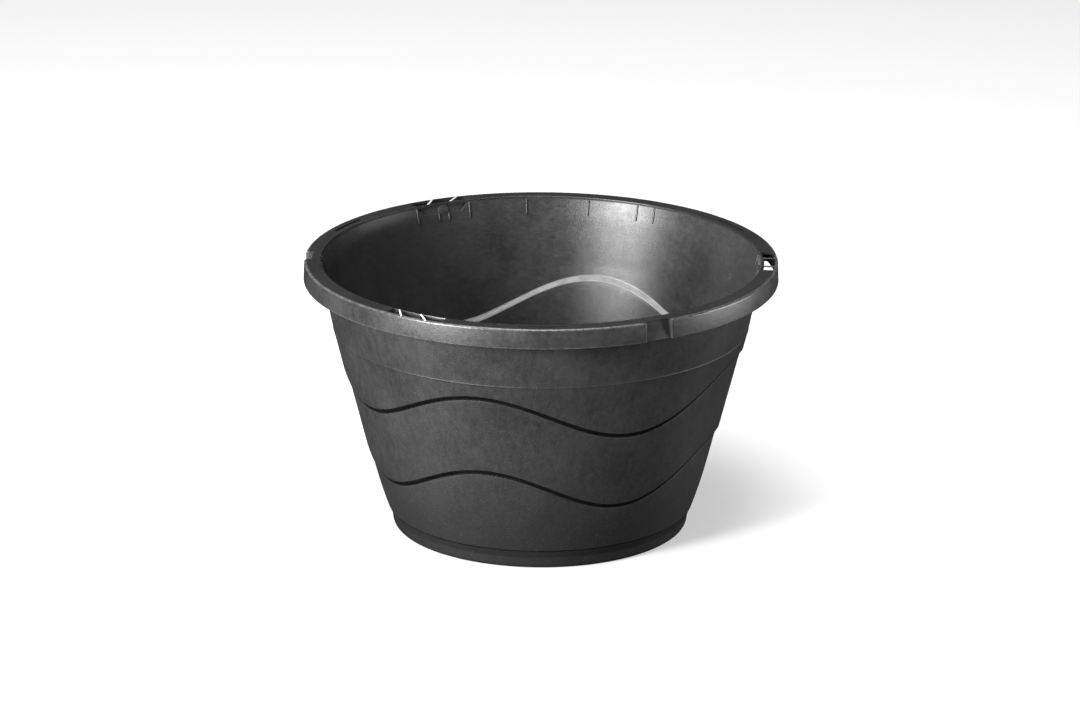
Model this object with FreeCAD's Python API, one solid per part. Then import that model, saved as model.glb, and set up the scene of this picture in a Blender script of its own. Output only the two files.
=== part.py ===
"""Mortar mixing tub: a round tapered plastic tub with two wavy steps in its wall.

Millimetres, +Z up. The origin is the centre of the circle that the tub stands on.
Angles are in degrees from +X, anticlockwise seen from above; the front faces -Y.
"""
import FreeCAD, Part
import math
import os

V = FreeCAD.Vector

# Overall size
height = 247.0                # floor to the top of the rim
rim_diameter = 425.0          # over the skirt's lower edge
foot_diameter = 258.0         # circle of contact with the floor

# Rim ring: a flat flange with a skirt that hangs from its edge
rim_plate = 2.6               # thickness of the flange
skirt_height = 17.6
skirt_wall = 2.4
skirt_flare = 0.8             # the skirt leans out by this much over its height
flange_width = 14.8
rim_edge_radius = 2.2

# Wall of the shell, in three bands that step inwards at the waves
wall = 2.6
bead_below_rim = 61.3         # thin raised line round the upper band
bead_size = 0.5
upper_taper = 0.247           # radius gained per millimetre of height
collar_taper = 0.20           # above the raised line
neck_taper = 0.28             # behind the skirt
middle_taper = 0.252

# Waves: four round the tub, one under the other
wave_count = 4
wave_low_angle = 27.8         # direction of one of the low points
upper_wave_drop = 94.6        # below the rim, on average
upper_wave_swing = 19.7       # above and below that
lower_wave_drop = 167.9
lower_wave_swing = 18.2
step_depth = 2.1              # how far the wall steps inwards
step_slope = 1.2              # rise of the outer step per millimetre of radius
ledge_slope = 1.0             # the same for the ledge inside
ledge_rise = 3.6              # inside ledge above the outer step

# Foot band, below the seam at the foot, and the floor inside it
foot_height = 18.4
foot_radius = 4.6             # rounded lower edge
foot_knee_height = 10.5       # the band leans out more above this
foot_lower_taper = 0.14
foot_upper_taper = 0.37
foot_inset = 0.7              # the band is this much smaller than the wall above it
foot_ring_width = 8.0
floor_raise = 3.0             # underside of the floor above the foot ring
floor_plate = 3.2

# Features that repeat three times round the rim
rim_repeats = 3
socket_angle = 238.0          # centre of a hook socket
socket_half_span = 7.7
socket_strip = 1.4            # lip left between the socket and the inside
socket_edge = 0.6             # flange left between the socket and the skirt
socket_dip = 7.5              # the wall's top edge drops by this much
tongue_offset = -0.3
tongue_width = 10.4
bar_offsets = (-4.3, 2.4)
bar_turns = (43.0, 0.0, -43.0)    # from radial, in the three sockets
bar_diameter = 2.2
bar_end_gap = 0.8             # bar's ends inside the lip and the skirt's outer face
recess_angles = (298.8, 178.8)    # shallow recesses in the skirt
recess_half_span = 3.4
recess_depth = 6.0            # at the flange
recess_low_depth = 2.6        # at the skirt's lower edge, so the recess leans out
slot_angle = 270.8            # narrow slot in the flange
slot_half_span = 5.8
slot_width = 2.6
slot_inset = 6.4              # slot's centre line from the lip
gusset_offsets = (-9.6, 9.6, 25.0, 42.6, 80.7, 95.6)
gusset_thickness = 2.0
gusset_height = 8.0
rib_offsets = (-24.0, -8.0, 7.9, 79.0, 64.9, 59.7)
tongue_rib_offsets = (-1.8, 1.2)
rib_thickness = 1.6
rib_proud = 1.0
rib_height = 14.0

# Worked out from the sizes above
skirt_bottom_radius = rim_diameter / 2
rim_radius = skirt_bottom_radius - skirt_flare
lip_radius = rim_radius - flange_width
flange_under = height - rim_plate
skirt_bottom = height - skirt_height
bead_height = height - bead_below_rim
foot_edge = foot_diameter / 2
neck_radius = lip_radius + wall - neck_taper * (flange_under - skirt_bottom)
bead_radius = neck_radius - collar_taper * (skirt_bottom - bead_height)
upper_wave_mid = height - upper_wave_drop
lower_wave_mid = height - lower_wave_drop
knee_radius = foot_edge + foot_radius + foot_lower_taper * (foot_knee_height - foot_radius)
band_top_radius = knee_radius + foot_upper_taper * (foot_height - foot_knee_height)
shell_foot_radius = band_top_radius + foot_inset
floor_top = floor_raise + floor_plate


def upper_radius(z):
    """Outer radius of the upper band at height z, below the raised line."""
    return bead_radius - upper_taper * (bead_height - z)


def middle_radius(z):
    """Outer radius of the middle band, one step inside the upper band."""
    return upper_radius(upper_wave_mid) - step_depth + middle_taper * (z - upper_wave_mid)


def lower_start_radius(z):
    """Outer radius of the lower band where it meets the lower wave."""
    return middle_radius(z) - step_depth


def upper_wave(angle):
    """Height of the upper wave in a direction."""
    swing = math.cos(math.radians(wave_count * (angle - wave_low_angle)))
    return upper_wave_mid - upper_wave_swing * swing


def lower_wave(angle):
    """Height of the lower wave in a direction."""
    swing = math.cos(math.radians(wave_count * (angle - wave_low_angle)))
    return lower_wave_mid - lower_wave_swing * swing


def at(radius, z, angle=0.0):
    """Point at a radius, height and direction."""
    turn = math.radians(angle)
    return V(radius * math.cos(turn), radius * math.sin(turn), z)


def outline_face(edges):
    """Flat face inside a closed outline of edges."""
    return Part.Face(Part.Wire(Part.__sortEdges__(edges)))


def polygon(points):
    """Flat face of a closed polygon of (radius, height) points."""
    corners = [at(radius, z) for radius, z in points]
    return Part.Face(Part.makePolygon(corners + corners[:1]))


def turned(face, start=0.0, span=360.0):
    """Solid made by turning a face about the tub's axis."""
    solid = face.revolve(V(0, 0, 0), V(0, 0, 1), span)
    solid.rotate(V(0, 0, 0), V(0, 0, 1), start)
    return solid


def sector(inner, outer, bottom, top, centre, half_span):
    """Part of a ring of rectangular section."""
    section = polygon([(inner, bottom), (outer, bottom), (outer, top), (inner, top)])
    return turned(section, centre - half_span, 2 * half_span)


def radial_plate(inner, outer, bottom, top, angle, thickness):
    """Upright plate that points away from the axis."""
    plate = Part.makeBox(outer - inner, thickness, top - bottom, V(inner, -thickness / 2, bottom))
    plate.rotate(V(0, 0, 0), V(0, 0, 1), angle)
    return plate


def trimmed(solids, limit):
    """Each solid cut to a limit, together as one compound."""
    return Part.makeCompound([piece for solid in solids for piece in solid.common(limit).Solids])


def repeated_angles(offsets, first):
    """Directions of a feature that repeats round the rim."""
    turn = 360.0 / rim_repeats
    return [first + offset + turn * i for i in range(rim_repeats) for offset in offsets]


def wavy_limit(wave, reference_radius, rise, slope, direction):
    """Everything above (direction 1) or below (direction -1) a wavy sloped surface."""
    samples = 96
    curves = []
    for radius in (foot_edge * 0.8, rim_diameter * 0.51):
        points = []
        for i in range(samples):
            angle = 360.0 * i / samples
            middle = wave(angle)
            z = middle + rise + slope * (radius - reference_radius(middle))
            points.append(at(radius, z, angle))
        curve = Part.BSplineCurve()
        curve.interpolate(Points=points, PeriodicFlag=True)
        curves.append(curve.toShape())
    surface = Part.makeRuledSurface(curves[0], curves[1])
    return surface.extrude(V(0, 0, direction * 2 * height))


def upper_band():
    """Wall from the rim down to the upper wave."""
    bottom = upper_wave_mid - upper_wave_swing - 4 * wall
    bead = [
        (bead_radius + collar_taper * bead_size, bead_height + bead_size),
        (bead_radius + bead_size, bead_height),
        (bead_radius - upper_taper * bead_size, bead_height - bead_size),
    ]
    outside = [(lip_radius + wall, flange_under), (neck_radius, skirt_bottom)]
    outside += bead + [(upper_radius(bottom), bottom)]
    inside = [
        (upper_radius(bottom) - wall, bottom),
        (bead_radius - wall, bead_height),
        (neck_radius - wall, skirt_bottom),
        (lip_radius, flange_under),
    ]
    band = turned(polygon(outside + inside))
    return band.common(wavy_limit(upper_wave, upper_radius, 0.0, step_slope, 1))


def middle_band():
    """Wall between the two waves."""
    top = upper_wave_mid + upper_wave_swing + 6 * wall
    bottom = lower_wave_mid - lower_wave_swing - 4 * wall
    band = turned(polygon([
        (middle_radius(top), top),
        (middle_radius(bottom), bottom),
        (middle_radius(bottom) - wall, bottom),
        (middle_radius(top) - wall, top),
    ]))

    def inside_upper(z):
        return upper_radius(z) - wall

    band = band.common(wavy_limit(upper_wave, inside_upper, ledge_rise, ledge_slope, -1))
    return band.common(wavy_limit(lower_wave, middle_radius, 0.0, step_slope, 1))


def lower_band():
    """Wall from the lower wave down to the seam at the foot."""
    top = lower_wave_mid + lower_wave_swing + 6 * wall
    knee = lower_wave_mid - lower_wave_swing
    outer_top = at(lower_start_radius(top), top)
    outer_knee = at(lower_start_radius(knee), knee)
    outer_foot = at(shell_foot_radius, foot_height)
    inwards = V(-wall, 0, 0)
    outer = Part.Arc(outer_top, outer_knee, outer_foot).toShape()
    inner = outer.copy()
    inner.translate(inwards)
    ends = [
        Part.LineSegment(outer_top, outer_top + inwards).toShape(),
        Part.LineSegment(outer_foot, outer_foot + inwards).toShape(),
    ]
    band = turned(outline_face([outer, inner] + ends))

    def inside_middle(z):
        return middle_radius(z) - wall

    return band.common(wavy_limit(lower_wave, inside_middle, ledge_rise, ledge_slope, -1))


def socket_cut(centre):
    """Notch in the wall's top edge at a socket, with ends that slope at 45 degrees."""
    reach = rim_radius * 0.1
    radius = lip_radius + wall / 2
    half = radius * math.radians(socket_half_span)
    floor = flange_under - socket_dip
    notch = Part.Face(Part.makePolygon([
        V(radius, -half, flange_under + wall),
        V(radius, -half, flange_under),
        V(radius, -half + socket_dip, floor),
        V(radius, half - socket_dip, floor),
        V(radius, half, flange_under),
        V(radius, half, flange_under + wall),
        V(radius, -half, flange_under + wall),
    ]))
    notch.translate(V(-reach, 0, 0))
    solid = notch.extrude(V(2 * reach, 0, 0))
    solid.rotate(V(0, 0, 0), V(0, 0, 1), centre)
    return solid


def make_shell():
    """The tub's wall, open at the top and closed below by the foot band and the floor."""
    shell = upper_band().fuse([middle_band(), lower_band()])
    for centre in repeated_angles((0.0,), socket_angle):
        shell = shell.cut(socket_cut(centre))
    return shell.removeSplitter()


def make_foot_band():
    """Band round the foot, with its rounded edge and the flat ring that the tub stands on."""
    tip = foot_radius * math.sqrt(0.5)
    side = at(foot_edge + foot_radius, foot_radius)
    corner = at(foot_edge + tip, foot_radius - tip)
    bottom = at(foot_edge, 0)
    inner = foot_edge - foot_ring_width
    path = [
        bottom,
        at(inner, 0),
        at(inner, floor_top),
        at(foot_edge + foot_radius - wall - floor_plate, floor_top),
        at(foot_edge + foot_radius - wall, floor_top + floor_plate),
        at(shell_foot_radius - wall, foot_height),
        at(band_top_radius, foot_height),
        at(knee_radius, foot_knee_height),
        side,
    ]
    edges = [Part.Arc(side, corner, bottom).toShape()]
    for start, end in zip(path, path[1:]):
        edges.append(Part.LineSegment(start, end).toShape())
    return turned(outline_face(edges))


def make_floor_plate():
    """Flat round floor, raised off the ground inside the foot band."""
    return Part.makeCylinder(foot_edge - foot_ring_width, floor_plate, V(0, 0, floor_raise))


def rim_section(inset, low_inset):
    """Section of the flange and skirt, with the skirt set in at its top and at its foot."""
    top_out = rim_radius - inset
    low_out = skirt_bottom_radius - low_inset
    tip = rim_edge_radius * (1 - math.sqrt(0.5))
    start = at(top_out - rim_edge_radius, height)
    middle = at(top_out - tip, height - tip)
    end = at(top_out, height - rim_edge_radius)
    path = [
        end,
        at(low_out, skirt_bottom),
        at(low_out - skirt_wall, skirt_bottom),
        at(top_out - skirt_wall, flange_under),
        at(lip_radius, flange_under),
        at(lip_radius, height - rim_plate / 3),
        at(lip_radius + rim_plate / 3, height),
        start,
    ]
    edges = [Part.Arc(start, middle, end).toShape()]
    for first, second in zip(path, path[1:]):
        edges.append(Part.LineSegment(first, second).toShape())
    return outline_face(edges)


def add_recess(ring, centre):
    """Set a short length of the skirt inwards, with a wall at each end."""
    inner = rim_radius - recess_depth
    ring = ring.cut(sector(inner, rim_diameter, skirt_bottom - rim_plate, height + rim_plate,
                           centre, recess_half_span))
    start = centre - recess_half_span
    recess = turned(rim_section(recess_depth, recess_low_depth), start, 2 * recess_half_span)
    end_section = polygon([
        (inner - skirt_wall, flange_under),
        (skirt_bottom_radius - recess_low_depth - skirt_wall, skirt_bottom),
        (skirt_bottom_radius, skirt_bottom),
        (rim_radius, flange_under),
    ])
    end_span = math.degrees(skirt_wall / rim_radius)
    left_end = turned(end_section, start - end_span, end_span)
    right_end = turned(end_section, centre + recess_half_span, end_span)
    return ring.fuse([recess, left_end, right_end])


def slot(centre):
    """Cutter for a narrow curved slot with round ends."""
    middle = lip_radius + slot_inset
    inner = middle - slot_width / 2
    outer = middle + slot_width / 2
    cutter = sector(inner, outer, skirt_bottom, height + rim_plate, centre, slot_half_span)
    for side in (-1, 1):
        end = at(middle, skirt_bottom, centre + side * slot_half_span)
        cutter = cutter.fuse(Part.makeCylinder(slot_width / 2, skirt_height + rim_plate, end))
    return cutter


def bars_and_grooves():
    """Each socket bar with the groove that takes its ends."""
    inner = lip_radius + bar_end_gap
    outer = rim_radius - bar_end_gap
    radius = bar_diameter / 2
    centre_height = height - radius
    reach = flange_width
    ends = turned(polygon([(inner, skirt_bottom), (outer, skirt_bottom), (outer, height),
                           (inner, height)]))
    middle = V((inner + outer) / 2, 0, centre_height)
    start = middle - V(reach, 0, 0)
    pairs = []
    for centre, turn in zip(repeated_angles((0.0,), socket_angle), bar_turns):
        for offset in bar_offsets:
            bar = Part.makeCylinder(radius, 2 * reach, start, V(1, 0, 0))
            mouth = Part.makeBox(2 * reach, bar_diameter, radius, start - V(0, radius, 0))
            for solid in (bar, mouth):
                solid.rotate(middle, V(0, 0, 1), turn)
                solid.rotate(V(0, 0, 0), V(0, 0, 1), centre + offset)
            bar = bar.common(ends).Solids[0]
            pairs.append((bar, bar.fuse(mouth.common(ends))))
    return pairs


def make_rim_ring():
    """Flange and skirt, with three sockets, two recesses and three slots."""
    ring = turned(rim_section(0.0, 0.0))
    for centre in recess_angles:
        ring = add_recess(ring, centre)
    socket_inner = lip_radius + socket_strip
    socket_outer = rim_radius - skirt_wall - socket_edge
    for centre in repeated_angles((0.0,), socket_angle):
        ring = ring.cut(sector(socket_inner, socket_outer, flange_under - wall,
                               height + wall, centre, socket_half_span))
    for centre in repeated_angles((0.0,), slot_angle):
        ring = ring.cut(slot(centre))
    for bar, groove in bars_and_grooves():
        ring = ring.cut(groove)
    return ring.removeSplitter()


def make_gussets():
    """Short webs under the flange, between the wall and the skirt."""
    channel = turned(polygon([
        (neck_radius, skirt_bottom),
        (lip_radius + wall, flange_under),
        (rim_radius - skirt_wall, flange_under),
        (skirt_bottom_radius - skirt_wall, skirt_bottom),
    ]))
    bottom = flange_under - gusset_height
    webs = []
    for angle in repeated_angles(gusset_offsets, socket_angle):
        webs.append(radial_plate(lip_radius - wall, rim_radius, bottom, flange_under, angle,
                                 gusset_thickness))
    return trimmed(webs, channel)


def make_socket_bars():
    """Two round bars across each socket, let into the rim flush with its top."""
    return Part.makeCompound([bar for bar, groove in bars_and_grooves()])


def make_tongues():
    """Round-topped tongues that stand in the wall's notches, under the lip's strip."""
    ring = turned(polygon([
        (neck_radius, skirt_bottom),
        (lip_radius + wall, flange_under),
        (lip_radius, flange_under),
        (neck_radius - wall, skirt_bottom),
    ]))
    half = tongue_width / 2
    base = flange_under - socket_dip
    shoulder = flange_under - half
    inner = lip_radius - 2 * wall
    outline = outline_face([
        Part.Arc(V(inner, -half, shoulder), V(inner, 0, flange_under),
                 V(inner, half, shoulder)).toShape(),
        Part.LineSegment(V(inner, half, shoulder), V(inner, half, base)).toShape(),
        Part.LineSegment(V(inner, half, base), V(inner, -half, base)).toShape(),
        Part.LineSegment(V(inner, -half, base), V(inner, -half, shoulder)).toShape(),
    ])
    tongues = []
    for angle in repeated_angles((tongue_offset,), socket_angle):
        tongue = outline.extrude(V(4 * wall, 0, 0))
        tongue.rotate(V(0, 0, 0), V(0, 0, 1), angle)
        tongues.append(tongue)
    return trimmed(tongues, ring)


def make_nesting_ribs():
    """Low ribs on the inside of the neck that keep stacked tubs from jamming."""
    neck_inner = neck_radius - wall
    lining = turned(polygon([
        (neck_inner, skirt_bottom),
        (lip_radius, flange_under),
        (lip_radius - rib_proud, flange_under),
        (neck_inner - rib_proud, skirt_bottom),
    ]))
    ribs = []
    for angle in repeated_angles(rib_offsets, socket_angle):
        ribs.append(radial_plate(neck_inner - 2 * wall, rim_radius, flange_under - rib_height,
                                 flange_under, angle, rib_thickness))
    base = flange_under - socket_dip
    for angle in repeated_angles(tongue_rib_offsets, socket_angle):
        ribs.append(radial_plate(neck_inner - 2 * wall, rim_radius, flange_under - rib_height,
                                 base, angle, rib_thickness))
    return trimmed(ribs, lining)


def main():
    os.makedirs("parts", exist_ok=True)
    nodes = {
        "tub_shell": make_shell(),
        "foot_band": make_foot_band(),
        "floor_plate": make_floor_plate(),
        "rim_ring": make_rim_ring(),
        "rim_gussets": make_gussets(),
        "socket_bars": make_socket_bars(),
        "latch_tongues": make_tongues(),
        "nesting_ribs": make_nesting_ribs(),
    }
    for name, shape in nodes.items():
        box = shape.BoundBox
        print(name, "valid", shape.isValid(), "solids", len(shape.Solids), "volume cm3",
              round(shape.Volume / 1000, 1), "z", round(box.ZMin, 2), round(box.ZMax, 2),
              "x", round(box.XMin, 1), round(box.XMax, 1))
        shape.exportStep("parts/" + name + ".step")


main()
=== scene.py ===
"""Mortar mixing tub: a black moulded tub with two wavy steps in its wall, and a plain studio.

Metres, +Z up, in the packed model's frame. Directions round the tub are anticlockwise
from +X, seen from above; the front faces -Y.
"""
import math

import bmesh
import bpy
from bpy.props import FloatProperty, FloatVectorProperty, IntProperty, PointerProperty
from mathutils import Matrix, Vector


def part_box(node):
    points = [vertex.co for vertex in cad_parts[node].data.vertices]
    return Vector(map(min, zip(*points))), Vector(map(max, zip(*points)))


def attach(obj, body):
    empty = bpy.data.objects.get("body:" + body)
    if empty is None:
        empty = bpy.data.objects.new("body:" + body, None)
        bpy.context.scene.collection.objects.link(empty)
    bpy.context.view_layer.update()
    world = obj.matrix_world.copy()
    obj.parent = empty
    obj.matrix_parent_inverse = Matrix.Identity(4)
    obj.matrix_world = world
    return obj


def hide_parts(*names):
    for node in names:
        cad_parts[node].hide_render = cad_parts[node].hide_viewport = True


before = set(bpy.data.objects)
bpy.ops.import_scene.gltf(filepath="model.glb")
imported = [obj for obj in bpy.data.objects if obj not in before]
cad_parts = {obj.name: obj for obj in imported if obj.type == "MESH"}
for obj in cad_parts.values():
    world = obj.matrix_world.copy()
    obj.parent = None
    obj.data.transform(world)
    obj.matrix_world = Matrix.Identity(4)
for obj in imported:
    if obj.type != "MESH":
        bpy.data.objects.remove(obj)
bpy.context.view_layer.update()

bl_info = {
    "name": "Mortar mixing tub",
    "version": (1, 0, 0),
    "blender": (4, 5, 0),
    "location": "3D View > Sidebar > Mixing tub",
    "description": "Models a moulded mixing tub on its packed frame, with a plain studio",
    "category": "Object",
}

RIM_LOW, RIM_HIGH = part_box("rim_ring")
SHELL_LOW, SHELL_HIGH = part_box("tub_shell")
FOOT_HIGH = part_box("foot_band")[1]
FLOOR_LOW, FLOOR_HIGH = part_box("floor_plate")
MADE = {}                      # materials made so far, by their makers
CLOSE = 1e-5                   # two points nearer than this are at the same place
TURN_STEPS = 288               # steps of a full turn of the wall and the foot band
RIM_STEP = math.radians(0.66)  # largest step of a turn of the rim
CALM = 0.001                   # the wall doesn't wave this near to the raised line
BEAD_REACH = 0.0009            # half of the raised line's height
SOFT_EDGE = 0.0004             # rounding of the small moulded edges
BAR_OFFSETS = (-4.3, 2.4)      # degrees from a socket's centre
TONGUE_OFFSET = -0.3
TALL_RIB_OFFSETS = (-24.0, -8.0, 7.9, 79.0, 64.9, 59.7)
SHORT_RIB_OFFSETS = (-1.8, 1.2)
STEEP = 1.0                    # radians between the faces of an edge that is softened


def length(name, description, default):
    """Property for a length in metres."""
    return FloatProperty(name=name, description=description, default=default,
                         unit="LENGTH", precision=5)


def direction(name, description, degrees):
    """Property for an angle."""
    return FloatProperty(name=name, description=description, default=math.radians(degrees),
                         subtype="ANGLE")


def ratio(name, description, default):
    """Property for a plain number."""
    return FloatProperty(name=name, description=description, default=default, precision=4)


def colour(name, description, value):
    """Property for a colour."""
    return FloatVectorProperty(name=name, description=description, default=value,
                               subtype="COLOR", min=0.0, max=1.0)


class TubWallSizes(bpy.types.PropertyGroup):
    """Wall of the shell."""
    wall: length("Wall", "Thickness of the moulded wall", 0.0026)
    bead_height: length("Raised line height", "Height of the thin raised line", 0.1857)
    bead_size: length("Raised line size", "How far the thin line stands out", 0.00025)
    neck_taper: ratio("Neck taper", "Radius gained per height behind the skirt", 0.28)
    collar_taper: ratio("Collar taper", "Radius gained per height above the line", 0.20)
    upper_taper: ratio("Upper taper", "Radius gained per height under the line", 0.247)
    middle_taper: ratio("Middle taper", "Radius gained per height between the waves", 0.252)


class TubWaveSizes(bpy.types.PropertyGroup):
    """Waves in the wall."""
    count: IntProperty(name="Waves", description="Waves round the tub", default=4, min=1)
    low_direction: direction("Low point", "Direction of one of the low points", 27.8)
    upper_middle: length("Upper wave", "Mean height of the upper wave", 0.1524)
    upper_swing: length("Upper swing", "Upper wave above and below its mean", 0.0197)
    lower_middle: length("Lower wave", "Mean height of the lower wave", 0.0791)
    lower_swing: length("Lower swing", "Lower wave above and below its mean", 0.0182)
    step_depth: length("Step depth", "How far the wall steps inwards", 0.0021)
    step_above: length("Step above", "Where the outer step starts to round over", 0.0027)
    step_below: length("Step below", "Where the outer step's corner is", 0.0013)
    groove_depth: length("Groove depth", "Depth of the crease under the outer step", 0.0009)
    groove_width: length("Groove width", "Height of the crease", 0.0018)
    ledge_above: length("Ledge above", "Where the inside ledge starts", 0.0052)
    ledge_below: length("Ledge below", "Where the inside ledge ends", 0.0008)


class TubFootSizes(bpy.types.PropertyGroup):
    """Foot band and floor."""
    edge: length("Foot edge", "Radius of the circle of contact", 0.129)
    rounding: length("Foot rounding", "Radius of the rounded lower edge", 0.0046)
    knee_height: length("Foot knee", "The band leans out more above this", 0.0105)
    lower_taper: ratio("Foot taper", "Radius gained per height under the knee", 0.14)
    inset: length("Foot inset", "The band is this much smaller than the wall", 0.0007)
    seam: length("Foot seam", "Size of the groove between the band and the wall", 0.0009)
    ring_width: length("Foot ring", "Width of the flat ring it stands on", 0.008)


class TubRimSizes(bpy.types.PropertyGroup):
    """Flange and skirt of the rim."""
    flange_width: length("Flange", "Width of the flat flange", 0.0148)
    plate: length("Flange plate", "Thickness of the flange", 0.0026)
    edge_radius: length("Edge radius", "Rounding of the outer top edge", 0.0022)
    skirt_wall: length("Skirt wall", "Thickness of the skirt", 0.0024)
    skirt_flare: length("Skirt flare", "How far the skirt leans out", 0.0008)
    sink: length("Sink", "The flange lies this much under the socket bars", 0.0002)
    recess_direction: direction("Recess", "Direction of a shallow recess", 298.8)
    recess_half: direction("Recess half span", "Half of the recess's span", 3.4)
    recess_depth: length("Recess depth", "How far the recess is set in at the flange", 0.006)
    recess_low: length("Low recess depth", "How far it is set in at the lower edge", 0.0026)
    slot_direction: direction("Slot", "Direction of a narrow slot", 270.8)
    slot_half: direction("Slot half span", "Half of the slot's span", 6.2)
    slot_width: length("Slot width", "Width of the narrow slot", 0.0026)
    slot_inset: length("Slot inset", "Slot's centre line from the lip", 0.0064)


class TubSocketSizes(bpy.types.PropertyGroup):
    """Hook sockets, their bars and tongues, and the nesting ribs."""
    centre: direction("Socket", "Direction of the first hook socket", 238.0)
    half: direction("Socket half span", "Half of a socket's span", 7.7)
    strip: length("Lip strip", "Lip left between socket and inside", 0.0014)
    edge: length("Outer edge", "Flange left between socket and skirt", 0.0006)
    dip: length("Dip", "The wall's top edge drops by this much", 0.0075)
    dip_depth: length("Dip depth", "How deep the dip is set into the wall", 0.0014)
    bar_diameter: length("Bar diameter", "Diameter of a socket bar", 0.0015)
    bar_gap: length("Bar end gap", "Bar's ends inside the lip and the skirt", 0.0008)
    bar_slant: direction("Bar slant", "Slant of the bars in the left sockets", 43.0)
    tongue_width: length("Tongue width", "Width of a round-topped tongue", 0.0104)
    rib_thickness: length("Rib thickness", "Thickness of a nesting rib", 0.0016)
    rib_proud: length("Rib proud", "How far a nesting rib stands out", 0.001)
    rib_height: length("Rib height", "Height of a nesting rib", 0.014)


class TubFinishes(bpy.types.PropertyGroup):
    """Colours of the plastic."""
    deep_black: colour("Deep black", "Darkest tone of the plastic", (0.014, 0.014, 0.0145))
    # On the outer wall and the foot this paler tone thins out towards the bottom, which is painted
    # shade.
    worn_black: colour("Worn black", "Paler tone where it is rubbed", (0.042, 0.042, 0.043))
    # Crease black is painted shade for the creases under the outer steps and for the foot's seam.
    crease_painted_shade_black: colour("Crease black", "Painted shade under the outer steps", (0.003, 0.003, 0.003))
    rim_black: colour("Rim black", "Darkest tone of the rim", (0.009, 0.009, 0.0095))
    # Worn rim is the flange top's paler tone, kept darker than the skirt's as painted shade.
    flange_top_shaded_pale: colour("Worn rim", "Paler tone of the rim", (0.022, 0.022, 0.0225))
    scuff_grey: colour("Scuff grey", "Scuffs and dust", (0.16, 0.16, 0.158))
    # Ledge grey is a painted highlight on the inside ledges.
    ledge_painted_highlight_grey: colour("Ledge grey", "Painted highlight on the ledges", (0.23, 0.23, 0.23))
    # Bar white is a painted highlight on the bars of the two slanted sockets.
    bar_painted_highlight_white: colour("Bar white", "Bright bars of the sockets", (0.84, 0.84, 0.83))
    floor_white: colour("Floor", "Studio floor", (0.5, 0.5, 0.5))


class TubStudioSizes(bpy.types.PropertyGroup):
    """Camera and lamps."""
    camera_distance: length("Camera distance", "From the middle of the rim", 4.234)
    camera_elevation: direction("Camera elevation", "Above the rim's plane", 16.94)
    camera_aim: direction("Camera aim", "How far under the rim it aims", 1.2435)
    camera_yaw: direction("Camera yaw", "How far left of the rim's middle it aims", 0.0086)
    camera_roll: direction("Camera roll", "Turn about its own axis", 0.268)
    camera_lens: FloatProperty(name="Lens", description="Focal length in millimetres",
                               default=157.76)
    key_power: ratio("Key lamp", "Watts of the large lamp at the front left", 215.0)
    top_power: ratio("Top lamp", "Watts of the lamp overhead", 100.0)
    side_power: ratio("Side lamp", "Watts of the narrow lamp at the right", 45.0)
    room: ratio("Room", "Brightness of the room in reflections", 0.08)


# Tools that every piece uses


def deselect_everything():
    """Leave edit mode and select nothing."""
    if bpy.context.mode != "OBJECT":
        bpy.ops.object.mode_set(mode="OBJECT")
    bpy.ops.object.select_all(action="DESELECT")


def make_active(piece):
    """Select one piece and no other."""
    deselect_everything()
    piece.select_set(True)
    bpy.context.view_layer.objects.active = piece


def named(name):
    """Name the object that was just added, and its mesh, and apply its place."""
    piece = bpy.context.object
    piece.name = piece.data.name = name
    bpy.ops.object.transform_apply(location=True, rotation=True, scale=True)
    return piece


def draw_outline(name, points, upright=True):
    """Draw a closed outline edge by edge and leave it selected in edit mode.

    Points are (radius, height) on the XZ plane, or (sideways, height) on the YZ plane.
    """
    def place(point):
        return Vector((point[0], 0.0, point[1]) if upright else (0.0, point[0], point[1]))

    deselect_everything()
    bpy.ops.mesh.primitive_plane_add(size=0.001, location=place(points[0]))
    piece = named(name)
    bpy.ops.object.mode_set(mode="EDIT")
    bpy.ops.mesh.select_mode(type="VERT")
    bpy.ops.mesh.select_all(action="SELECT")
    bpy.ops.mesh.merge(type="CENTER")
    for here, there in zip(points, points[1:]):
        step = place(there) - place(here)
        bpy.ops.mesh.extrude_vertices_move(TRANSFORM_OT_translate={"value": step})
    bpy.ops.mesh.select_all(action="SELECT")
    bpy.ops.mesh.edge_face_add()
    return piece


def spin_on(steps, span):
    """Turn what is selected about the tub's axis, anticlockwise seen from above."""
    bpy.ops.mesh.spin(steps=steps, angle=-span, center=(0.0, 0.0, 0.0), axis=(0.0, 0.0, 1.0))


def turned_piece(name, points, steps):
    """Piece made by turning a closed section all the way round."""
    piece = draw_outline(name, points)
    bpy.ops.mesh.delete(type="ONLY_FACE")
    bpy.ops.mesh.select_all(action="SELECT")
    spin_on(steps, 2 * math.pi)
    close_up(piece)
    return piece


def close_up(piece):
    """Merge doubles, turn the faces outwards and leave edit mode."""
    make_active(piece)
    bpy.ops.object.mode_set(mode="EDIT")
    bpy.ops.mesh.select_mode(type="VERT")
    bpy.ops.mesh.select_all(action="SELECT")
    bpy.ops.mesh.remove_doubles(threshold=2e-6)
    bpy.ops.mesh.dissolve_degenerate(threshold=1e-7)
    bpy.ops.mesh.delete_loose(use_verts=True, use_edges=True, use_faces=False)
    bpy.ops.mesh.select_all(action="SELECT")
    bpy.ops.mesh.normals_make_consistent(inside=False)
    bpy.ops.object.mode_set(mode="OBJECT")


def smooth(piece, degrees=35.0):
    """Smooth shading with sharp corners kept."""
    make_active(piece)
    bpy.ops.object.shade_smooth_by_angle(angle=math.radians(degrees))


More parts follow.
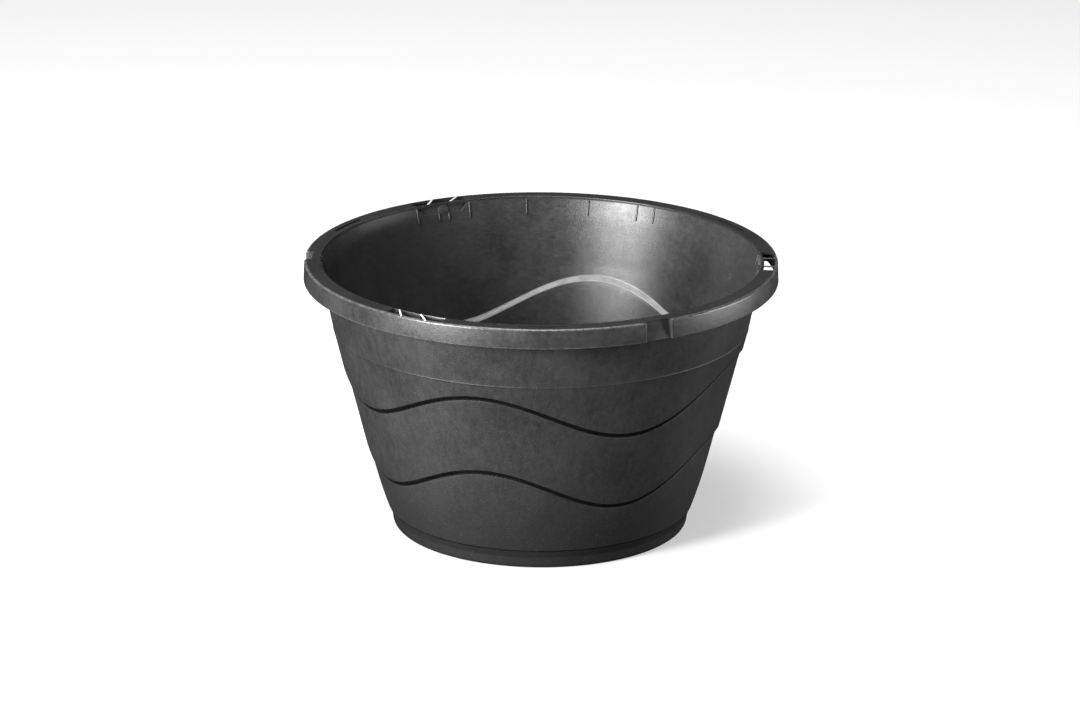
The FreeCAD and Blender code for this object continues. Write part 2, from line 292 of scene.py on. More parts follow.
def select_parts(piece, edges=None, faces=None):
    """In edit mode, select only the edges or the faces that pass a test."""
    shape = bmesh.from_edit_mesh(piece.data)
    bpy.ops.mesh.select_mode(type="EDGE" if edges else "FACE")
    bpy.ops.mesh.select_all(action="DESELECT")
    shape.normal_update()
    chosen = [item for item in (shape.edges if edges else shape.faces) if (edges or faces)(item)]
    if not chosen:
        raise RuntimeError("nothing to select on " + piece.name)
    for item in chosen:
        item.select_set(True)
    shape.select_flush_mode()
    bmesh.update_edit_mesh(piece.data)


def bevel_edges(piece, test, width, segments=2):
    """Round the edges that pass a test."""
    make_active(piece)
    bpy.ops.object.mode_set(mode="EDIT")
    select_parts(piece, edges=test)
    bpy.ops.mesh.bevel(offset=width, segments=segments, affect="EDGES")
    bpy.ops.object.mode_set(mode="OBJECT")


def sharp(degrees):
    """Test for edges whose faces meet at more than an angle."""
    limit = math.radians(degrees)
    return lambda edge: len(edge.link_faces) == 2 and edge.calc_face_angle() > limit


def turned_copy(piece, name, turn):
    """Copy with its own mesh, turned about the tub's axis."""
    copy = piece.copy()
    copy.data = piece.data.copy()
    copy.name = copy.data.name = name
    bpy.context.collection.objects.link(copy)
    copy.data.transform(Matrix.Rotation(turn, 4, "Z"))
    return copy


def cut_out(piece, cutter):
    """Take a cutter's shape out of a piece, and remove the cutter."""
    make_active(piece)
    modifier = piece.modifiers.new("cut", "BOOLEAN")
    modifier.operation = "DIFFERENCE"
    modifier.solver = "EXACT"
    modifier.object = cutter
    bpy.ops.object.modifier_apply(modifier=modifier.name)
    bpy.data.objects.remove(cutter, do_unlink=True)


def check_closed(piece):
    """Stop if a piece has an open or shared edge."""
    shape = bmesh.new()
    shape.from_mesh(piece.data)
    bad = [edge for edge in shape.edges if len(edge.link_faces) != 2]
    shape.free()
    if bad:
        raise RuntimeError("%s has %d open edges" % (piece.name, len(bad)))


def dress(piece, *makers):
    """Give a piece its finishes, each of which is made only once."""
    for maker in makers:
        if maker not in MADE:
            MADE[maker] = maker(bpy.context.scene.tub_finishes)
        piece.data.materials.append(MADE[maker])


def settle(piece, node, *makers):
    """Give a finished piece its finishes, body, slot and the node that it stands for."""
    check_closed(piece)
    dress(piece, *makers)
    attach(piece, "root")
    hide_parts(node)


def polar(place):
    """Distance from the tub's axis, and direction."""
    return math.hypot(place.x, place.y), math.atan2(place.y, place.x)


def evenly(start, end, spacing):
    """Values from start up to but not including end."""
    count = max(1, round(abs(end - start) / spacing))
    return [start + (end - start) * i / count for i in range(count)]


def blend(start, end, share):
    """Value part of the way between two."""
    return start + (end - start) * share


def ease(share):
    """Smooth S-curve from 0 to 1."""
    share = min(max(share, 0.0), 1.0)
    return share * share * (3 - 2 * share)


def rounded(corners, segments=4):
    """Closed outline from (radius, height, rounding) corners."""
    points = []
    count = len(corners)
    for i, (x, z, rounding) in enumerate(corners):
        here = Vector((x, z))
        if rounding <= 0:
            points.append((x, z))
            continue
        before = Vector(corners[i - 1][:2]) - here
        after = Vector(corners[(i + 1) % count][:2]) - here
        back = rounding / math.tan(before.angle(after) / 2)
        start = here + before.normalized() * back
        end = here + after.normalized() * back
        for j in range(segments + 1):
            t = j / segments
            point = start * (1 - t) ** 2 + here * 2 * t * (1 - t) + end * t * t
            points.append((point.x, point.y))
    return points


# The wall's shape


class WallShape:
    """Radius of the wall's two sides, for a row of the wall and the height it comes to."""

    def __init__(self, scene):
        self.sizes = scene.tub_wall
        self.waves = scene.tub_waves
        sizes = self.sizes
        rim = scene.tub_rim
        self.top = SHELL_HIGH.z
        self.foot = SHELL_LOW.z
        self.skirt_bottom = RIM_LOW.z
        self.lip = RIM_HIGH.x - rim.skirt_flare - rim.flange_width
        self.neck = self.lip + sizes.wall - sizes.neck_taper * (self.top - self.skirt_bottom)
        self.bead = self.neck - sizes.collar_taper * (self.skirt_bottom - sizes.bead_height)
        self.foot_radius = FOOT_HIGH.x + scene.tub_foot.inset

    def upper(self, z):
        """Outer radius of the band above the upper wave."""
        return self.bead - self.sizes.upper_taper * (self.sizes.bead_height - z)

    def middle(self, z):
        """Outer radius of the band between the waves."""
        start = self.waves.upper_middle
        return self.upper(start) - self.waves.step_depth + self.sizes.middle_taper * (z - start)

    def lower(self, z):
        """Outer radius of the band under the lower wave, which curves in to the foot."""
        knee = self.waves.lower_middle - self.waves.lower_swing
        radius = self.middle(z) - self.waves.step_depth
        if z < knee:
            short = self.middle(self.foot) - self.waves.step_depth - self.foot_radius
            radius -= short * ((knee - z) / (knee - self.foot)) ** 2
        return radius

    def plain(self, row):
        """Outer radius of the neck and the collar, over the waves."""
        if row > self.skirt_bottom:
            return self.neck + self.sizes.neck_taper * (row - self.skirt_bottom)
        return self.bead + self.sizes.collar_taper * (row - self.sizes.bead_height)

    def swing(self, row):
        """How far a row of the wall rises and falls round the tub."""
        waves = self.waves
        calm = self.sizes.bead_height - CALM
        upper_start = waves.upper_middle + waves.ledge_above
        upper_end = waves.upper_middle - 2 * waves.ledge_below
        lower_start = waves.lower_middle + waves.ledge_above
        lower_end = waves.lower_middle - 2 * waves.ledge_below
        if row >= calm:
            return 0.0
        if row > upper_start:
            return waves.upper_swing * (calm - row) / (calm - upper_start)
        if row > upper_end:
            return waves.upper_swing
        if row > lower_start:
            share = (upper_end - row) / (upper_end - lower_start)
            return blend(waves.upper_swing, waves.lower_swing, share)
        if row > lower_end:
            return waves.lower_swing
        return waves.lower_swing * (row - self.foot) / (lower_end - self.foot)

    def outside(self, row, z):
        """Radius of the outer side: a quarter-round step with a sharp corner under it."""
        waves = self.waves
        line = row - self.sizes.bead_height
        base = self.plain(row) if line >= 0 else self.upper(z)
        bead = self.sizes.bead_size * (1 - ease(abs(line) / BEAD_REACH))
        height = waves.step_above + waves.step_below
        for middle, below in ((waves.upper_middle, self.middle), (waves.lower_middle, self.lower)):
            share = min(max((middle + waves.step_above - row) / height, 0.0), 1.0)
            fade = ease((middle - waves.step_below - row) / waves.groove_width)
            crease = waves.groove_depth * (1 - fade)
            base = blend(base, below(z) - crease, 1 - math.sqrt(1 - share * share))
        return base + bead

    def inside(self, row, z):
        """Radius of the inner side: a ledge with a soft S-curve at each wave."""
        waves = self.waves
        wall = self.sizes.wall
        base = (self.plain(row) if row >= self.sizes.bead_height else self.upper(z)) - wall
        height = waves.ledge_above + waves.ledge_below
        for middle, below in ((waves.upper_middle, self.middle), (waves.lower_middle, self.lower)):
            share = ease((middle + waves.ledge_above - row) / height)
            base = blend(base, below(z) - wall, share)
        return base

    def outer_rows(self):
        """Heights of the section's points down the outer side."""
        waves = self.waves
        line = self.sizes.bead_height
        start = line - CALM
        rows = evenly(self.top, line + CALM, 0.005) + evenly(line + CALM, start, 0.00025)
        for middle in (waves.upper_middle, waves.lower_middle):
            step_top = middle + waves.step_above
            rows += evenly(start, step_top, 0.0035)
            turns = 8
            corner = middle - waves.step_below
            height = waves.step_above + waves.step_below
            rows += [step_top - height * math.sin(math.pi / 2 * i / turns) for i in range(turns)]
            start = corner - waves.groove_width
            rows += evenly(corner, start, 0.0003)
        return rows + evenly(start, self.foot, 0.004) + [self.foot]

    def inner_rows(self):
        """Heights of the section's points up the inner side."""
        waves = self.waves
        rows = []
        start = self.foot
        for middle in (waves.lower_middle, waves.upper_middle):
            rows += evenly(start, middle - waves.ledge_below, 0.004)
            rows += evenly(middle - waves.ledge_below, middle + waves.ledge_above, 0.0006)
            start = middle + waves.ledge_above
        return rows + evenly(start, self.top, 0.004) + [self.top]


# Finishes


class Nodes:
    """Node tree of a material or of the room."""

    def __init__(self, owner):
        owner.use_nodes = True
        self.tree = owner.node_tree

    def add(self, kind, links=None, **settings):
        """Add a node, with its settings, and its inputs as values or links."""
        node = self.tree.nodes.new(kind)
        node.location = (-180 * len(self.tree.nodes) % 1800 - 2000, -160 * len(self.tree.nodes))
        for key, value in settings.items():
            setattr(node, key, value)
        for key, value in (links or {}).items():
            if isinstance(value, bpy.types.NodeSocket):
                self.tree.links.new(value, node.inputs[key])
            else:
                node.inputs[key].default_value = value
        return node


class Finish(Nodes):
    """One material and its nodes."""

    def __init__(self, name):
        self.material = bpy.data.materials.new(name)
        super().__init__(self.material)
        self.shader = self.tree.nodes["Principled BSDF"]
        self.place = self.add("ShaderNodeTexCoord").outputs["Object"]

    def noise(self, scale, detail=3.0, rough=0.55, stretch=None, warp=0.0):
        """Cloudy pattern, stretched along the axes if asked."""
        place = self.place
        if stretch:
            mapped = self.add("ShaderNodeMapping", {"Vector": place, "Scale": stretch})
            place = mapped.outputs["Vector"]
        node = self.add("ShaderNodeTexNoise", {
            "Vector": place, "Scale": scale, "Detail": detail, "Roughness": rough,
            "Distortion": warp})
        return node.outputs["Fac"]

    def ranged(self, value, low, high, start=0.0, end=1.0):
        """Value between low and high spread over start to end."""
        node = self.add("ShaderNodeMapRange", {
            "Value": value, "From Min": low, "From Max": high, "To Min": start, "To Max": end},
            clamp=True, interpolation_type="SMOOTHSTEP")
        return node.outputs["Result"]

    def math(self, kind, first, second=0.0):
        """Sum, product or other simple step."""
        return self.add("ShaderNodeMath", {0: first, 1: second}, operation=kind).outputs[0]

    def times(self, first, second):
        """Product."""
        return self.math("MULTIPLY", first, second)

    def mingled(self, broad, fine):
        """More of a broad pattern with less of a fine one."""
        return self.math("ADD", self.times(broad, 0.6), self.times(fine, 0.4))

    def mixed(self, share, first, second):
        """Colour part of the way between two."""
        node = self.add("ShaderNodeMix", {"Factor": share}, data_type="RGBA")
        for index, value in ((6, first), (7, second)):
            if isinstance(value, bpy.types.NodeSocket):
                self.tree.links.new(value, node.inputs[index])
            else:
                node.inputs[index].default_value = (*value, 1.0)
        return node.outputs[2]

    def axis_and_height(self):
        """Distance from the tub's axis, and height."""
        parts = self.add("ShaderNodeSeparateXYZ", {"Vector": self.place}).outputs
        across = self.math("ADD", self.times(parts["X"], parts["X"]),
                           self.times(parts["Y"], parts["Y"]))
        return self.math("SQRT", across), parts["Z"]

    def specks(self, scale, size, cover):
        """Small round specks, only here and there."""
        cells = self.add("ShaderNodeTexVoronoi", {"Vector": self.place, "Scale": scale})
        dot = self.ranged(cells.outputs["Distance"], size, size * 0.4)
        where = self.ranged(self.noise(scale * 0.31, 1.0), 1 - cover, 1 - cover + 0.04)
        return self.times(dot, where)

    def bump(self, height, distance, strength=1.0, under=None):
        """Relief from a height, over another relief if given."""
        links = {"Height": height, "Distance": distance, "Strength": strength}
        if under:
            links["Normal"] = under
        return self.add("ShaderNodeBump", links).outputs["Normal"]

    def finish(self, base, roughness, normal, **constants):
        """Join the results to the shader."""
        for key, value in (("Base Color", base), ("Roughness", roughness), ("Normal", normal)):
            self.tree.links.new(value, self.shader.inputs[key])
        for key, value in constants.items():
            self.shader.inputs[key.replace("_", " ")].default_value = value
        return self.material


def grained_foot(tones):
    """Foot: the wall's finish again with a lower specular level, a shaded copy that darkens the
    foot as painted shade.
    """
    return grained_wall(tones, "grained_black_foot", 0.2)


def grained_wall(tones, name="grained_black_wall", sheen=0.42):
    """Matt outer wall: fine moulded grain, cloudy tone, dust specks, and painted shade that
    darkens it towards the bottom.
    """
    made = Finish(name)
    clouds = made.noise(14.0, 8.0, 0.7)
    drag = made.noise(210.0, 4.0, 0.7, (1.0, 1.0, 0.5))
    grain = made.noise(1500.0, 2.0, 0.7)
    pores = made.noise(420.0, 2.0, 0.6)
    tone = made.mingled(clouds, drag)
    height = made.axis_and_height()[1]
    # Less of the paler tone lower down: painted shade, darker towards the foot. The same share
    # also lowers the roughness higher up.
    painted_shade_by_height = made.ranged(height, 0.01, 0.15, 0.1, 1.0)
    share = made.times(made.ranged(tone, 0.25, 0.75), painted_shade_by_height)
    base = made.mixed(share, tones.deep_black, tones.worn_black)
    dust = made.specks(900.0, 0.26, 0.42)
    base = made.mixed(made.times(dust, 0.55), base, tones.scuff_grey)
    rough = made.math("SUBTRACT", made.ranged(tone, 0.3, 0.7, 0.56, 0.64),
                      made.times(painted_shade_by_height, 0.1))
    rough = made.math("ADD", rough, made.ranged(grain, 0.3, 0.7, -0.06, 0.06))
    relief = made.bump(made.math("ADD", grain, made.times(pores, 0.7)), 0.00022)
    return made.finish(base, rough, relief, IOR=1.49, Specular_IOR_Level=sheen)


def drawn_lining(tones):
    """Smoother inner wall: long draw marks up the wall, rubbed patches."""
    made = Finish("drawn_black_lining")
    clouds = made.noise(12.0, 8.0, 0.7, warp=0.3)
    draw = made.noise(160.0, 3.0, 0.6, (1.0, 1.0, 0.04))
    rub = made.noise(150.0, 5.0, 0.7, (1.0, 1.0, 2.2))
    grain = made.noise(1300.0, 2.0, 0.7)
    tone = made.mingled(clouds, rub)
    base = made.mixed(made.ranged(tone, 0.3, 0.8), tones.deep_black, tones.worn_black)
    dust = made.specks(700.0, 0.22, 0.38)
    base = made.mixed(made.times(dust, 0.5), base, tones.scuff_grey)
    rough = made.math("ADD", made.ranged(tone, 0.28, 0.72, 0.27, 0.43),
                      made.ranged(draw, 0.3, 0.7, -0.02, 0.02))
    relief = made.bump(draw, 0.00004)
    relief = made.bump(grain, 0.00012, under=relief)
    return made.finish(base, rough, relief, IOR=1.49)


def handled_rim(tones):
    """Glossier rim: mottled shine, scuffs, edges polished by hands."""
    made = Finish("handled_black_rim")
    radius, height = made.axis_and_height()
    clouds = made.noise(22.0, 6.0, 0.65, warp=0.3)
    patches = made.noise(240.0, 5.0, 0.7)
    scratch = made.noise(160.0, 3.0, 0.7, (1.0, 1.0, 6.0))
    grain = made.noise(1400.0, 2.0, 0.7)
    shine = made.mingled(clouds, patches)
    # The flange top takes darker tones than the skirt: painted shade on the upward faces.
    on_skirt = made.ranged(height, RIM_HIGH.z - 0.001, RIM_HIGH.z - 0.003)
    base = made.mixed(on_skirt, tones.flange_top_shaded_pale, tones.worn_black)
    base = made.mixed(made.ranged(shine, 0.22, 0.7), tones.rim_black, base)
    lower = made.ranged(height, RIM_LOW.z + 0.0011, RIM_LOW.z + 0.0003)
    upper = made.times(made.ranged(height, RIM_HIGH.z - 0.0024, RIM_HIGH.z - 0.001),
                       made.ranged(radius, RIM_HIGH.x - 0.0034, RIM_HIGH.x - 0.0022))
    edges = made.math("MAXIMUM", lower, upper)
    worn = made.times(edges, made.ranged(patches, 0.32, 0.62, 0.25, 1.0))
    base = made.mixed(made.times(worn, 0.45), base, tones.scuff_grey)
    scuffs = made.ranged(scratch, 0.66, 0.74)
    base = made.mixed(made.times(scuffs, 0.3), base, tones.scuff_grey)
    rough = made.ranged(shine, 0.3, 0.7, 0.24, 0.36)
    rough = made.math("ADD", rough, made.times(on_skirt, 0.1))
    rough = made.math("SUBTRACT", rough, made.times(worn, 0.06))
    rough = made.math("ADD", rough, made.times(scuffs, 0.12))
    relief = made.bump(patches, 0.00022, 0.8)
    relief = made.bump(grain, 0.0001, under=relief)
    return made.finish(base, rough, relief, IOR=1.5)


def painted_highlight_ledge(tones):
    """Painted highlight: pale grey on the inside ledges, smooth, where the ledges catch the light.
    """
    made = Finish("ledge_painted_highlight")
    rub = made.noise(60.0, 4.0, 0.6)
    grain = made.noise(1100.0, 2.0, 0.7)
    # The noise varies how pale the painted highlight is.
    base = made.mixed(made.ranged(rub, 0.34, 0.66), tones.ledge_painted_highlight_grey,
                      [channel * 0.6 for channel in tones.ledge_painted_highlight_grey])
    rough = made.ranged(rub, 0.3, 0.7, 0.24, 0.34)
    relief = made.bump(grain, 0.0001)
    return made.finish(base, rough, relief, IOR=1.5)


def painted_shade_crease(tones):
    """Painted shade: dull near-black faces in the creases under the outer steps and in the foot's
    seam, where shadow falls.
    """
    made = Finish("crease_painted_shade")
    shade_noise = made.noise(90.0, 5.0, 0.7)
    base = made.mixed(made.ranged(shade_noise, 0.3, 0.8), tones.crease_painted_shade_black, tones.rim_black)
    rough = made.ranged(shade_noise, 0.3, 0.7, 0.7, 0.85)
    relief = made.bump(made.noise(1300.0, 2.0, 0.7), 0.0002)
    return made.finish(base, rough, relief, IOR=1.3, Specular_IOR_Level=0.12)


def painted_highlight_bar(tones):
    """Near-white socket bars, a painted highlight, a little rubbed."""
    made = Finish("socket_bar_painted_highlight")
    rub = made.noise(300.0, 4.0, 0.6)
    base = made.mixed(made.ranged(rub, 0.45, 0.75), tones.bar_painted_highlight_white, (0.5, 0.5, 0.5))
    rough = made.ranged(rub, 0.3, 0.7, 0.28, 0.45)
    relief = made.bump(made.noise(1200.0), 0.00008)
    return made.finish(base, rough, relief, IOR=1.5)


def studio_floor(tones):
    """Pale seamless floor."""
    made = Finish("pale_studio_floor")
    soft = made.noise(1.5, 3.0)
    shade = [channel * 0.985 for channel in tones.floor_white]
    base = made.mixed(soft, tones.floor_white, shade)
    rough = made.ranged(soft, 0.3, 0.7, 0.75, 0.85)
    relief = made.bump(made.noise(300.0), 0.0001)
    made.shader.inputs["Emission Color"].default_value = (1.0, 1.0, 1.0, 1.0)
    return made.finish(base, rough, relief, IOR=1.2, Emission_Strength=0.5)


# Pieces


def repeated(first):
    """Three directions, a third of a turn apart."""
    return [first + 2 * math.pi * i / 3 for i in range(3)]


class TUB_OT_shell(bpy.types.Operator):
    """Turn the wall, press the two waves into it and notch its top edge at the sockets"""
    bl_idname = "tub.shell"
    bl_label = "Wavy shell"

    def execute(self, context):
        scene = context.scene
        shape = WallShape(scene)
        waves = scene.tub_waves
        points = [(shape.outside(row, row), row) for row in shape.outer_rows()]
        points += [(shape.inside(row, row), row) for row in shape.inner_rows()]
        shell = turned_piece("wavy_wall", points, TURN_STEPS)
        finishes = (grained_wall, drawn_lining, painted_highlight_ledge, painted_shade_crease)
        dress(shell, *finishes)
        # Inside, the ledge band takes the ledge finish, which is a painted highlight.
        ledge = (0.0001, 0.0047)       # over each wave's mean height, inside
        crease = (-0.0028, 0.0022)     # the same outside
        for face in shell.data.polygons:
            across = polar(face.center)[0]
            row = face.center.z
            outer = across > (shape.outside(row, row) + shape.inside(row, row)) / 2
            face.material_index = finishes.index(grained_wall if outer else drawn_lining)
            low, high = crease if outer else ledge
            # Faces in the crease band outside take the crease finish, which is painted shade.
            for wave in (waves.upper_middle, waves.lower_middle):
                if wave + low < row < wave + high:
                    face.material_index = finishes.index(painted_shade_crease if outer else painted_highlight_ledge)
        for vertex in shell.data.vertices:
            row = vertex.co.z
            across, turn = polar(vertex.co)
            rise = -math.cos(waves.count * (turn - waves.low_direction)) * shape.swing(row)
            outer = abs(across - shape.outside(row, row)) < abs(across - shape.inside(row, row))
            side = shape.outside if outer else shape.inside
            radius = side(row, row + rise)
            vertex.co = (radius * math.cos(turn), radius * math.sin(turn), row + rise)
        sizes = scene.tub_sockets
        half = (shape.lip + scene.tub_wall.wall / 2) * sizes.half
        for centre in repeated(sizes.centre):
            cut_out(shell, self.notch_cutter(shape, half, sizes, centre))
        close_up(shell)
        smooth(shell)
        settle(shell, "tub_shell")
        return {"FINISHED"}

    def notch_cutter(self, shape, half, sizes, centre):
        """Block with ends that slope at 45 degrees, which leans with the neck."""
        above = 0.004
        dip = sizes.dip
        outline = [(-half - above, shape.top + above), (-half + dip, shape.top - dip),
                   (half - dip, shape.top - dip), (half + above, shape.top + above)]
        cutter = draw_outline("notch_cutter", outline, upright=False)
        reach = 0.02
        bpy.ops.transform.translate(value=(shape.lip + sizes.dip_depth - reach, 0, 0))
        bpy.ops.mesh.extrude_region_move(TRANSFORM_OT_translate={"value": (reach, 0, 0)})
        close_up(cutter)
        for vertex in cutter.data.vertices:
            vertex.co.x += shape.sizes.neck_taper * (vertex.co.z - shape.top)
        cutter.data.transform(Matrix.Rotation(centre, 4, "Z"))
        return cutter


class TUB_OT_foot_band(bpy.types.Operator):
    """Turn the band round the foot, with its rounded edge and the ring it stands on"""
    bl_idname = "tub.foot_band"
    bl_label = "Foot band"

    def execute(self, context):
        foot = context.scene.tub_foot
        wall = context.scene.tub_wall.wall
        plate = FLOOR_HIGH.z - FLOOR_LOW.z
        side = foot.edge + foot.rounding
        inner = foot.edge - foot.ring_width
        knee = side + foot.lower_taper * (foot.knee_height - foot.rounding)
        top = FOOT_HIGH.z
        corners = [
            (inner, 0.0, 0.0006),
            (inner, FLOOR_HIGH.z, 0.0),
            (side - wall - plate, FLOOR_HIGH.z, 0.003),
            (side - wall, FLOOR_HIGH.z + plate, 0.003),
            (FOOT_HIGH.x + foot.inset - wall, top, 0.0),
            (FOOT_HIGH.x - foot.seam, top, 0.0),
            (FOOT_HIGH.x - foot.seam, top - foot.seam, 0.0002),
            (FOOT_HIGH.x - foot.seam * 0.3, top - 2 * foot.seam, 0.0003),
            (knee, foot.knee_height, 0.004),
            (side - foot.rounding * foot.lower_taper, 0.0, foot.rounding * 0.95),
        ]
        band = turned_piece("foot_ring", rounded(corners, 8), TURN_STEPS)
        smooth(band)
        finishes = (grained_foot, drawn_lining, painted_shade_crease)
        dress(band, *finishes)
        for face in band.data.polygons:
            if face.center.z > 0.005 and polar(face.center)[0] < side - wall / 2:
                face.material_index = finishes.index(drawn_lining)
            # The seam groove at the band's top takes the crease finish, which is painted shade.
            elif face.center.z > top - 2 * foot.seam:
                face.material_index = finishes.index(painted_shade_crease)
        settle(band, "foot_band")
        return {"FINISHED"}


class TUB_OT_floor(bpy.types.Operator):
    """Turn the floor, with its gate mark and the shallow rings underneath"""
    bl_idname = "tub.floor"
    bl_label = "Floor"

    def execute(self, context):
        radius = FLOOR_HIGH.x
        top = FLOOR_HIGH.z
        low = FLOOR_LOW.z
        gate = low - 0.0008            # underside of the gate mark
        ridge = low - 0.0016           # underside of the two rings
        sunk = top - 0.0004            # upper side, within a shallow step
        dimple = top - 0.0009          # ring round the middle of the upper side
        soft = 0.0003
        corners = [(0.0, gate, 0.0), (0.004, gate, soft), (0.005, low, 0.0)]
        for ring in (radius * 0.38, radius * 0.74):
            corners += [(ring - 0.0012, low, soft), (ring - 0.0008, ridge, soft),
                        (ring + 0.0008, ridge, soft), (ring + 0.0012, low, soft)]
        corners += [(radius, low, 0.0), (radius, top, 0.0)]
        step = radius * 0.9
        corners += [(step, top, 0.0), (step - 0.001, sunk, 0.0004), (0.011, sunk, 0.0),
                    (0.0105, dimple, 0.0002), (0.0035, dimple, 0.0), (0.003, sunk, 0.0002),
                    (0.0, sunk, 0.0)]
        floor = turned_piece("floor_disc", rounded(corners, 2), 144)
        smooth(floor, 25.0)
        settle(floor, "floor_plate", drawn_lining)
        return {"FINISHED"}


class TUB_OT_rim_ring(bpy.types.Operator):
    """Turn a third of the rim, open its socket and slot, set two recesses in, and join three"""
    bl_idname = "tub.rim_ring"
    bl_label = "Rim ring"

    def execute(self, context):
        rim = context.scene.tub_rim
        sockets = context.scene.tub_sockets
        self.rim = rim
        self.top = RIM_HIGH.z - rim.sink
        self.under = RIM_HIGH.z - rim.plate
        self.outer = RIM_HIGH.x - rim.skirt_flare
        self.lip = self.outer - rim.flange_width
        socket_radii = (self.lip + sockets.strip, self.outer - rim.skirt_wall - sockets.edge)
        slot_middle = self.lip + rim.slot_inset
        slot_radii = (slot_middle - rim.slot_width / 2, slot_middle + rim.slot_width / 2)
        third = draw_outline("flange_and_skirt", self.section(sorted(socket_radii + slot_radii)))
        bpy.ops.mesh.delete(type="ONLY_FACE")
        bpy.ops.mesh.select_all(action="SELECT")
        start = sockets.centre - math.radians(28.0)    # where the first third starts
        self.sliver = 1e-4             # span of the upright faces at the recess's ends

        def span(middle, half):
            return middle - half - start, middle + half - start

        self.recess = span(rim.recess_direction, rim.recess_half)
        socket = span(sockets.centre, sockets.half)
        slot = span(rim.slot_direction, rim.slot_half)
        margin = math.radians(1.2)
        stops = [0.0, *socket, *slot, self.recess[0] - margin, self.recess[0],
                 self.recess[0] + self.sliver, self.recess[1] - self.sliver, self.recess[1],
                 self.recess[1] + margin, 2 * math.pi / 3]
        for here, there in zip(stops, stops[1:]):
            spin_on(max(1, round((there - here) / RIM_STEP)), there - here)
        bpy.ops.object.mode_set(mode="OBJECT")
        self.open_hole(third, socket_radii, socket)
        self.open_hole(third, slot_radii, slot)
        self.round_slot(third, slot_radii, slot)
        self.soften_socket(third, socket_radii, socket)
        third.data.transform(Matrix.Rotation(start, 4, "Z"))
        others = [turned_copy(third, "plain_third", 2 * math.pi / 3)]
        third.data.transform(Matrix.Rotation(-start, 4, "Z"))
        self.set_recess_in(third)
        self.soften_recess(third)
        third.data.transform(Matrix.Rotation(start, 4, "Z"))
        others.append(turned_copy(third, "recessed_third", 4 * math.pi / 3))
        make_active(third)
        for other in others:
            other.select_set(True)
        bpy.ops.object.join()
        close_up(third)
        smooth(third)
        settle(third, "rim_ring", handled_rim)
        return {"FINISHED"}

    def section(self, radii):
        """Closed section of the flange and the skirt, with a point at each given radius."""
        rim = self.rim
        low = RIM_LOW.z
        top_points = [(radius, self.top, 0.0) for radius in radii]
        under_points = [(radius, self.under, 0.0) for radius in reversed(radii)]
        return rounded([
            (self.lip, self.top, 0.0007),
            *top_points,
            (self.outer, self.top, rim.edge_radius),
            (RIM_HIGH.x, low, 0.0005),
            (RIM_HIGH.x - rim.skirt_wall, low, 0.0004),
            (self.outer - rim.skirt_wall, self.under, 0.0),
            *under_points,
            (self.lip, self.under, 0.0),
        ], 6)

    def set_recess_in(self, third):
        """Move the rim's edge inwards between the recess's two ends."""
        rim = self.rim
        corner = self.outer - rim.skirt_wall
        squeeze = (corner - rim.recess_depth - self.lip) / (corner - self.lip)
        end_turn = rim.skirt_wall / self.outer
        for vertex in third.data.vertices:
            place = vertex.co
            across, turn = polar(place)
            turn %= 2 * math.pi
            radius = across
            share = (self.under - place.z) / (self.under - RIM_LOW.z)
            if self.recess[0] + self.sliver / 2 < turn < self.recess[1] - self.sliver / 2:
                if across < corner - CLOSE:
                    radius = self.lip + (across - self.lip) * squeeze
                else:
                    radius = across - blend(rim.recess_depth, rim.recess_low, max(share, 0.0))
            face = self.outer + rim.skirt_flare * share
            depth = min(max((face - across) / rim.skirt_wall, 0.0), 1.0)
            if place.z < self.under + CLOSE and across > corner - CLOSE:
                if abs(turn - self.recess[0]) < 2 * self.sliver:
                    turn -= end_turn * depth
                elif abs(turn - self.recess[1]) < 2 * self.sliver:
                    turn += end_turn * depth
            vertex.co = (radius * math.cos(turn), radius * math.sin(turn), place.z)

    def within(self, point, radii, span):
        """True for a point between two radii and two directions."""
        across, turn = polar(point)
        return (radii[0] - CLOSE < across < radii[1] + CLOSE
                and span[0] - CLOSE * 3 < turn < span[1] + CLOSE * 3)

    def open_hole(self, third, radii, span):
        """Open a hole through the flange, and close its sides."""
        make_active(third)
        bpy.ops.object.mode_set(mode="EDIT")
        flat = self.under - CLOSE

        def inside(face):
            return (face.calc_center_median().z > flat
                    and all(self.within(v.co, radii, span) for v in face.verts))

        def border(edge):
            return (edge.is_boundary and all(v.co.z > flat for v in edge.verts)
                    and all(self.within(v.co, radii, span) for v in edge.verts))

        select_parts(third, faces=inside)
        bpy.ops.mesh.delete(type="FACE")
        select_parts(third, edges=border)
        bpy.ops.mesh.bridge_edge_loops()
        bpy.ops.object.mode_set(mode="OBJECT")

    def upright_at(self, edge, radii, span):
        """True for an upright edge at a corner of a hole."""
        first, second = (v.co for v in edge.verts)
        across, turn = polar(first)
        return (abs(first.z - second.z) > self.rim.plate / 5
                and min(abs(across - r) for r in radii) < CLOSE
                and min(abs(turn - a) for a in span) < CLOSE * 3
                and polar(first - second)[0] < CLOSE)

    def round_slot(self, third, radii, span):
        """Round the slot's ends."""
        width = (radii[1] - radii[0]) / 2
        bevel_edges(third, lambda edge: self.upright_at(edge, radii, span), width * 0.98, 4)

    def soften_socket(self, third, radii, span):
        """Break the sharp edges of the socket."""
        def socket_edge(edge):
            return (all(abs(v.co.z - self.top) < CLOSE for v in edge.verts)
                    and edge.calc_face_angle(0.0) > STEEP
                    and all(self.within(v.co, radii, span) for v in edge.verts))

        bevel_edges(third, socket_edge, SOFT_EDGE, 2)

    def soften_recess(self, third):
        """Break the sharp edges of the recess's ends."""
        def recess_edge(edge):
            ends = [polar(v.co) for v in edge.verts]
            return (edge.calc_face_angle(0.0) > STEEP
                    and all(across > self.outer - self.rim.skirt_wall / 2 for across, turn in ends)
                    and any(all(abs(turn - end) < self.sliver / 4 for across, turn in ends)
                            for end in self.recess))

        bevel_edges(third, recess_edge, SOFT_EDGE, 2)


